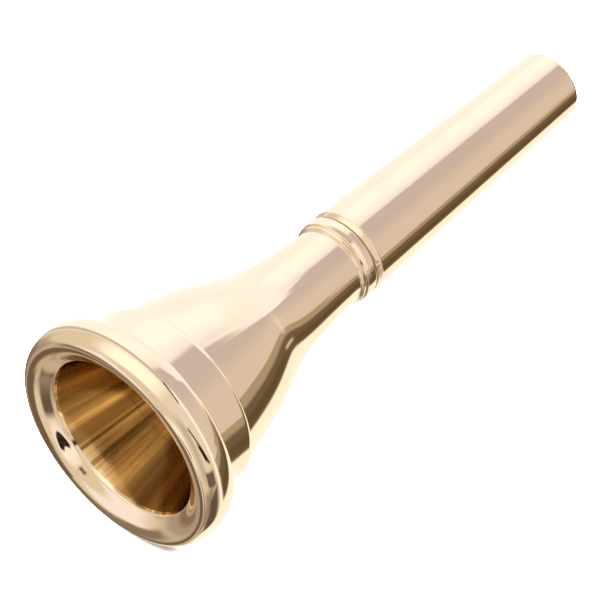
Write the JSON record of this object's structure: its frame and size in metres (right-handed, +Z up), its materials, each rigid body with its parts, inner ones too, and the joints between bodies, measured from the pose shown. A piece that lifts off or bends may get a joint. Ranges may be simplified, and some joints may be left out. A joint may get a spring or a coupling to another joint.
{
  "type": "horn mouthpiece",
  "caption": "Gold-plated brass French horn mouthpiece: screw-on rounded rim, flared funnel cup and screwed-in tapered shank, with sealing rings.",
  "frame": {"origin": "centre of the shank's end face, on the bore's axis", "axes": "the axis of the bore lies along Y as played: the shank points along +Y into the horn and the rim faces -Y towards the player; +Z up"},
  "size_m": [0.0247, 0.0673, 0.0246],
  "materials": {
    "gold_plate": "turned brass, gold plated and mirror polished outside, with fine turning marks in the funnel and on the threads",
    "seal_rubber": "matt black nitrile rubber sealing ring"
  },
  "bodies": {
    "shank": {"shank": "gold_plate"},
    "shank_seal": {"shank_seal": "seal_rubber"},
    "cup": {"cup": "gold_plate"},
    "rim_seal": {"rim_seal": "seal_rubber"},
    "rim": {"rim": "gold_plate"}
  },
  "joints": [
    {"name": "cup_travel", "type": "slide", "parent": "shank", "child": "shank_seal", "axis": [0, -1, 0], "range_m": [0, 0.003]},
    {"name": "cup_turn", "type": "hinge", "parent": "shank_seal", "child": "cup", "pos_m": [0, -0.035, 0], "axis": [0, -1, 0], "range_deg": [0, 1560]},
    {"name": "rim_travel", "type": "slide", "parent": "cup", "child": "rim_seal", "axis": [0, -1, 0], "range_m": [0, 0.0031]},
    {"name": "rim_turn", "type": "hinge", "parent": "rim_seal", "child": "rim", "pos_m": [0, -0.0615, 0], "axis": [0, -1, 0], "range_deg": [0, 1260]}
  ],
  "couplings": [
    {"joint": "cup_travel", "follows": "cup_turn", "m_per_rad": 0.000095493},
    {"joint": "rim_travel", "follows": "rim_turn", "m_per_rad": 0.00011937}
  ]
}
